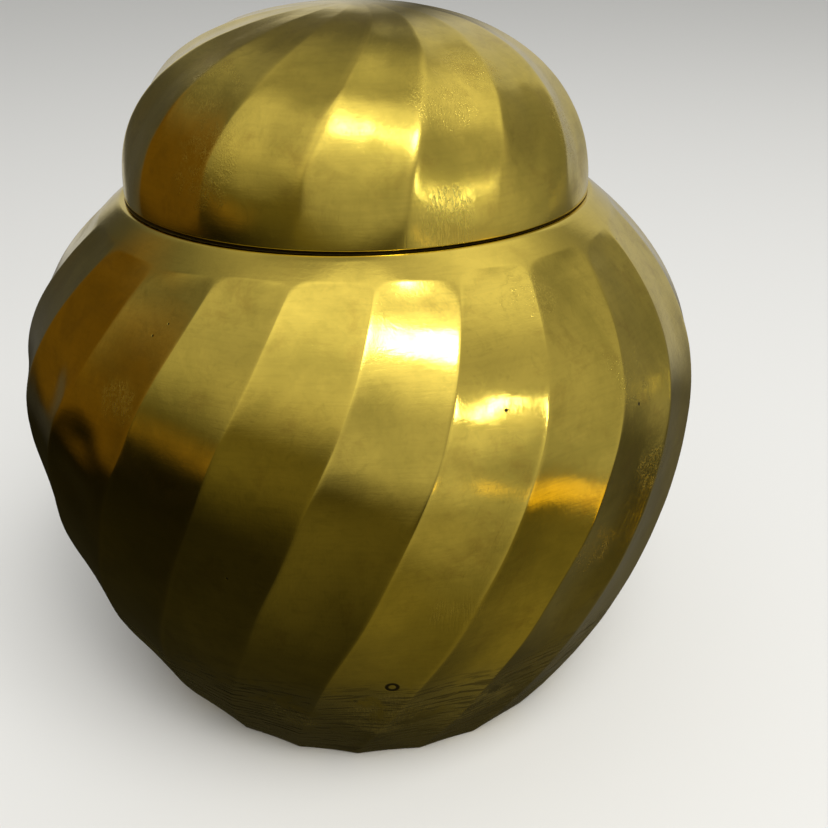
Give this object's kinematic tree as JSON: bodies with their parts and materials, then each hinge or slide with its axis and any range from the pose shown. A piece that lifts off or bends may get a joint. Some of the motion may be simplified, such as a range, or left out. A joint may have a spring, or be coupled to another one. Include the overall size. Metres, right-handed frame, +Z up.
{
  "type": "lidded ginger jar",
  "caption": "Round brass ginger jar with swirling concave flutes and a matching fluted dome lid that lifts off a plain neck collar.",
  "frame": {"origin": "centre of the foot's underside, on the surface the jar stands on", "axes": "+Z up the jar's axis towards the lid; the side that faces -Y is the front"},
  "size_m": [0.1396, 0.1396, 0.1417],
  "materials": {
    "body_brass": "hand-polished brass with a thin olive tarnish, fine scratches and file marks",
    "lid_brass": "hand-polished brass with curved scratch patches and a thin tarnish",
    "collar_brass": "turned brass, dull and slightly tarnished",
    "base_brass": "dull sheet brass with a brown tarnish"
  },
  "bodies": {
    "jar": {"jar_body": "body_brass", "neck_collar": "collar_brass", "base_plate": "base_brass"},
    "lid": {"lid_dome": "lid_brass"}
  },
  "joints": [
    {"name": "lid_lift", "type": "slide", "parent": "jar", "child": "lid", "axis": [0, 0, 1], "range_m": [0, 0.06]}
  ]
}
